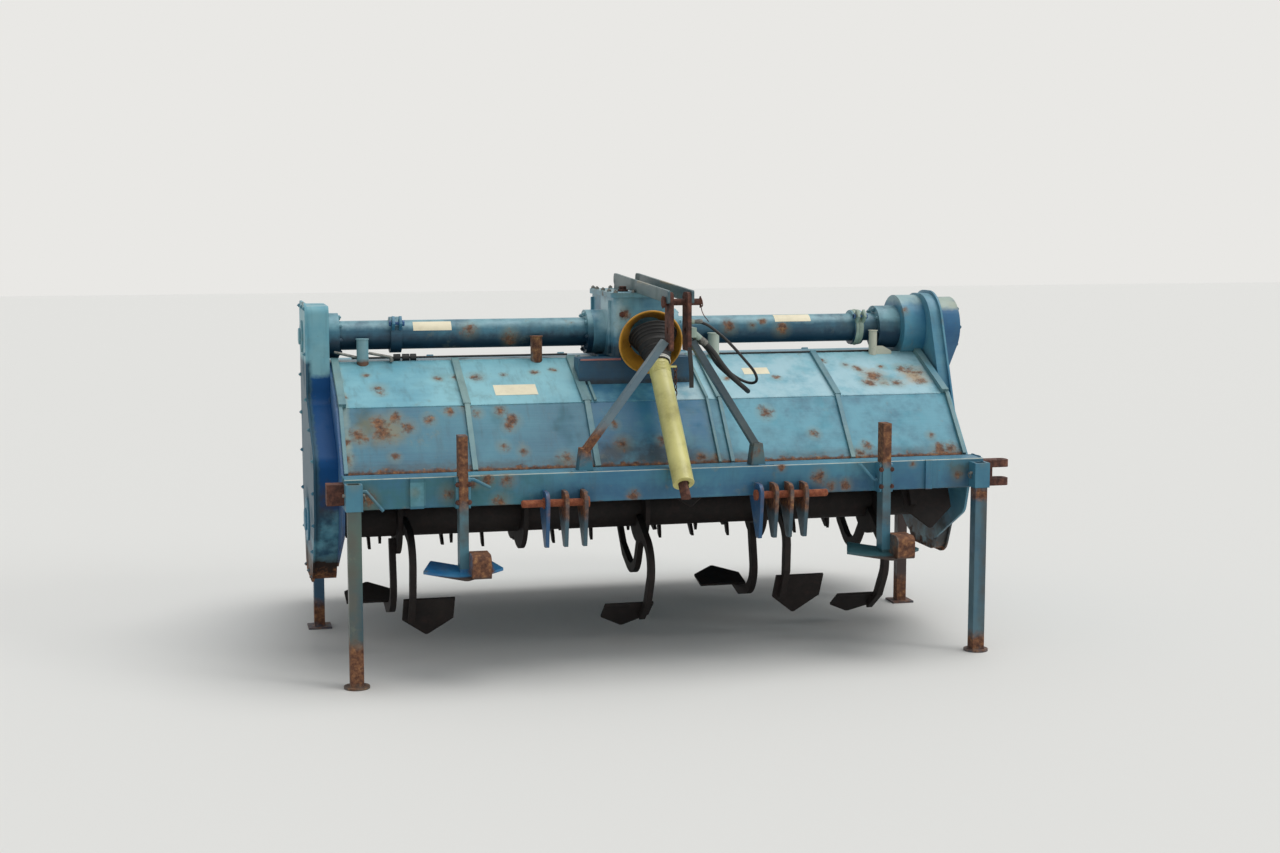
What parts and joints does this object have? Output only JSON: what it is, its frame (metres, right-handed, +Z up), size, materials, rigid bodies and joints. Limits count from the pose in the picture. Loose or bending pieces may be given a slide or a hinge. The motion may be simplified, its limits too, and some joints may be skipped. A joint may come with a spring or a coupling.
{
  "type": "mounted rotavator with spade rotor",
  "caption": "Tractor-mounted wide rotavator: sheet hood, central gearbox, side drive cases, spade rotor, toothed rear rotor, drive shaft and parking stands.",
  "frame": {"origin": "on the floor, at the middle of the machine's footprint", "axes": "+X across the machine to the right as seen from the tractor, +Y to the rear, +Z up"},
  "size_m": [2.705, 1.7498, 1.4482],
  "materials": {
    "blue_paint": "old brushed machinery enamel, sun-faded, with rust freckles",
    "rusty_steel": "heavy brown rust",
    "worn_grey_paint": "worn paint over dull steel",
    "soil_dark_steel": "dark forged steel stained by soil",
    "share_steel": "blue paint worn to rust at the nose",
    "tine_steel": "blue paint below, bare rust above",
    "pale_yellow_plastic": "faded guard tube",
    "orange_yellow_plastic": "moulded guard cone",
    "black_rubber": "ribbed bellows",
    "black_hose": "hydraulic hose"
  },
  "bodies": {
    "frame": {"beam_fittings": "blue_paint", "cross_tube_left": "blue_paint", "cross_tube_right": "blue_paint", "end_clevis": "rusty_steel", "end_plate": "rusty_steel", "front_beam": "blue_paint", "front_stand_left": "blue_paint", "front_stand_right": "blue_paint", "gearbox": "blue_paint", "gearbox_lid": "blue_paint", "gearbox_rail": "blue_paint", "guard_cone": "orange_yellow_plastic", "headstock_braces": "worn_grey_paint", "headstock_leg_left": "worn_grey_paint", "headstock_leg_right": "worn_grey_paint", "headstock_plates": "rusty_steel", "hitch_lugs_left": "blue_paint", "hitch_lugs_right": "blue_paint", "hitch_pin_left": "rusty_steel", "hitch_pin_right": "rusty_steel", "hood_lower": "blue_paint", "hood_pipes": "blue_paint", "hood_posts": "blue_paint", "hood_rear": "blue_paint", "hood_ribs": "blue_paint", "hood_top": "blue_paint", "hood_upper": "blue_paint", "hose_sockets": "rusty_steel", "hose_thick": "black_hose", "hose_thin": "black_hose", "input_yoke": "rusty_steel", "left_case": "blue_paint", "rear_drive_case": "blue_paint", "rear_drive_hubs": "blue_paint", "rear_stand_left": "blue_paint", "rear_stand_right": "blue_paint", "right_case": "blue_paint", "right_gear_head": "blue_paint", "rotor_bearings": "blue_paint", "share_left": "share_steel", "share_right": "share_steel", "side_plate_left": "blue_paint", "side_plate_right": "blue_paint", "stand_sleeves": "blue_paint", "tine_holders": "blue_paint", "tine_left": "tine_steel", "tine_right": "tine_steel", "top_link_pin": "rusty_steel"},
    "spade_rotor": {"rotor_discs": "soil_dark_steel", "rotor_shaft": "soil_dark_steel", "spade_arms_left": "soil_dark_steel", "spade_arms_right": "soil_dark_steel", "spade_blades_left": "soil_dark_steel", "spade_blades_right": "soil_dark_steel"},
    "rear_rotor": {"rear_rotor_tube": "soil_dark_steel"},
    "drive_shaft": {"shaft_bell": "black_rubber", "shaft_cross": "rusty_steel", "shaft_guard": "pale_yellow_plastic", "shaft_profile": "rusty_steel"},
    "tail_board": {"rear_board": "blue_paint"}
  },
  "joints": [
    {"name": "spade_rotor_turn", "type": "hinge", "parent": "frame", "child": "spade_rotor", "pos_m": [-0.0325, -0.13854, 0.52], "axis": [1, 0, 0], "continuous": true},
    {"name": "rear_rotor_turn", "type": "hinge", "parent": "frame", "child": "rear_rotor", "pos_m": [-0.0325, 0.59146, 0.47], "axis": [1, 0, 0], "continuous": true},
    {"name": "drive_shaft_lift", "type": "hinge", "parent": "frame", "child": "drive_shaft", "pos_m": [-0.0325, -0.37354, 1.206], "axis": [-1, 0, 0], "range_deg": [0, 33]},
    {"name": "tail_board_swing", "type": "hinge", "parent": "frame", "child": "tail_board", "pos_m": [-0.0325, 0.84346, 0.64], "axis": [1, 0, 0], "range_deg": [0, 60]}
  ]
}
